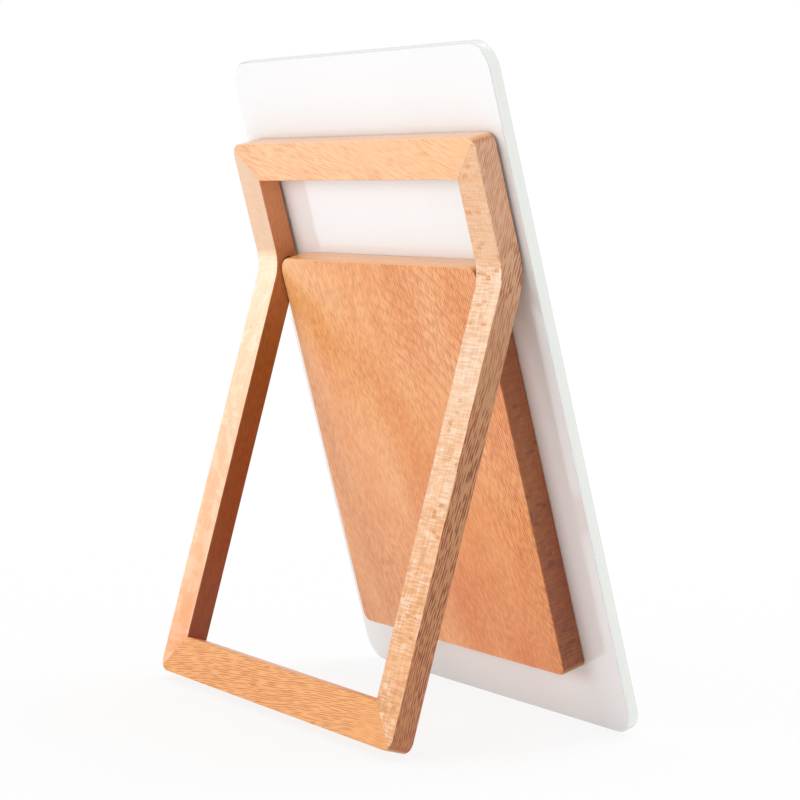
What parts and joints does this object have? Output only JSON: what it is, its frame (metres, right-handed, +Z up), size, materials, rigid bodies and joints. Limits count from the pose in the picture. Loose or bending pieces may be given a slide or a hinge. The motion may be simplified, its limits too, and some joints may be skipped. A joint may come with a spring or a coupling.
{
  "type": "digital photo frame",
  "caption": "Upright digital photo frame: rounded clear-fronted white panel with a flat wooden housing on its back and an angled wooden frame stand that folds flat.",
  "frame": {"origin": "under the middle of the bounding box, at the height of the surface the frame stands on", "axes": "+Z up; the screen faces -Y and the stand reaches towards +Y; +X is to the right when facing the screen"},
  "size_m": [0.22, 0.1338, 0.3069],
  "materials": {
    "clear_sheet": "clear acrylic sheet, polished, pale grey-green at its edge",
    "white_sheet": "white sheet, glossy",
    "foam": "thin foam tape, black",
    "beech": "beech, clear satin finish, orange-tan",
    "beech_light": "beech, clear satin finish, pale",
    "dowel_beech": "beech dowel, unfinished",
    "screen_glass": "dark display glass",
    "tray_aluminium": "plain sheet",
    "sheet_steel": "galvanised sheet steel",
    "bright_steel": "bright steel",
    "brass": "turned brass",
    "circuit_board": "green solder mask",
    "chip_black": "moulded, matt black",
    "shield_metal": "plated sheet metal",
    "black_plastic": "moulded, satin black",
    "ribbon": "amber film",
    "grey_plastic": "moulded, satin grey",
    "black_nylon": "thin nylon",
    "rubber": "soft rubber pad"
  },
  "bodies": {
    "display": {"front_panel": "clear_sheet", "white_backing": "white_sheet", "panel_tape": "foam", "housing": "beech", "display_gasket": "foam", "lcd_panel": "screen_glass", "backlight": "tray_aluminium", "carrier_plate": "sheet_steel", "carrier_screw_1": "bright_steel", "carrier_screw_2": "bright_steel", "carrier_screw_3": "bright_steel", "carrier_screw_4": "bright_steel", "main_board": "circuit_board", "standoff_1": "brass", "standoff_2": "brass", "standoff_3": "brass", "standoff_4": "brass", "board_screw_1": "bright_steel", "board_screw_2": "bright_steel", "board_screw_3": "bright_steel", "board_screw_4": "bright_steel", "processor": "chip_black", "memory_chip": "chip_black", "wifi_module": "shield_metal", "display_connector": "black_plastic", "lcd_ribbon": "ribbon", "usb_socket": "shield_metal", "power_switch": "black_plastic", "port_plate": "black_plastic", "hinge_pin_left": "bright_steel", "hinge_pin_right": "bright_steel"},
    "button": {"power_button": "grey_plastic"},
    "stand": {"top_rail": "beech_light", "bottom_rail": "beech", "left_rail": "beech_light", "top_dowel_left": "dowel_beech", "foot_dowel_left": "dowel_beech", "hinge_sleeve_left": "brass", "hinge_washer_left": "black_nylon", "stop_pad_left": "rubber", "foot_pad_left": "rubber", "right_rail": "beech_light", "top_dowel_right": "dowel_beech", "foot_dowel_right": "dowel_beech", "hinge_sleeve_right": "brass", "hinge_washer_right": "black_nylon", "stop_pad_right": "rubber", "foot_pad_right": "rubber"}
  },
  "joints": [
    {"name": "stand_fold", "type": "hinge", "parent": "display", "child": "stand", "pos_m": [0, 0.0094, 0.20671], "axis": [-1, 0, 0], "range_deg": [0, 31.4]},
    {"name": "power_press", "type": "slide", "parent": "display", "child": "button", "axis": [-1, 0, 0], "range_m": [0, 0.0005], "stiffness_N_per_m": 800, "springref_m": -0.0005}
  ]
}
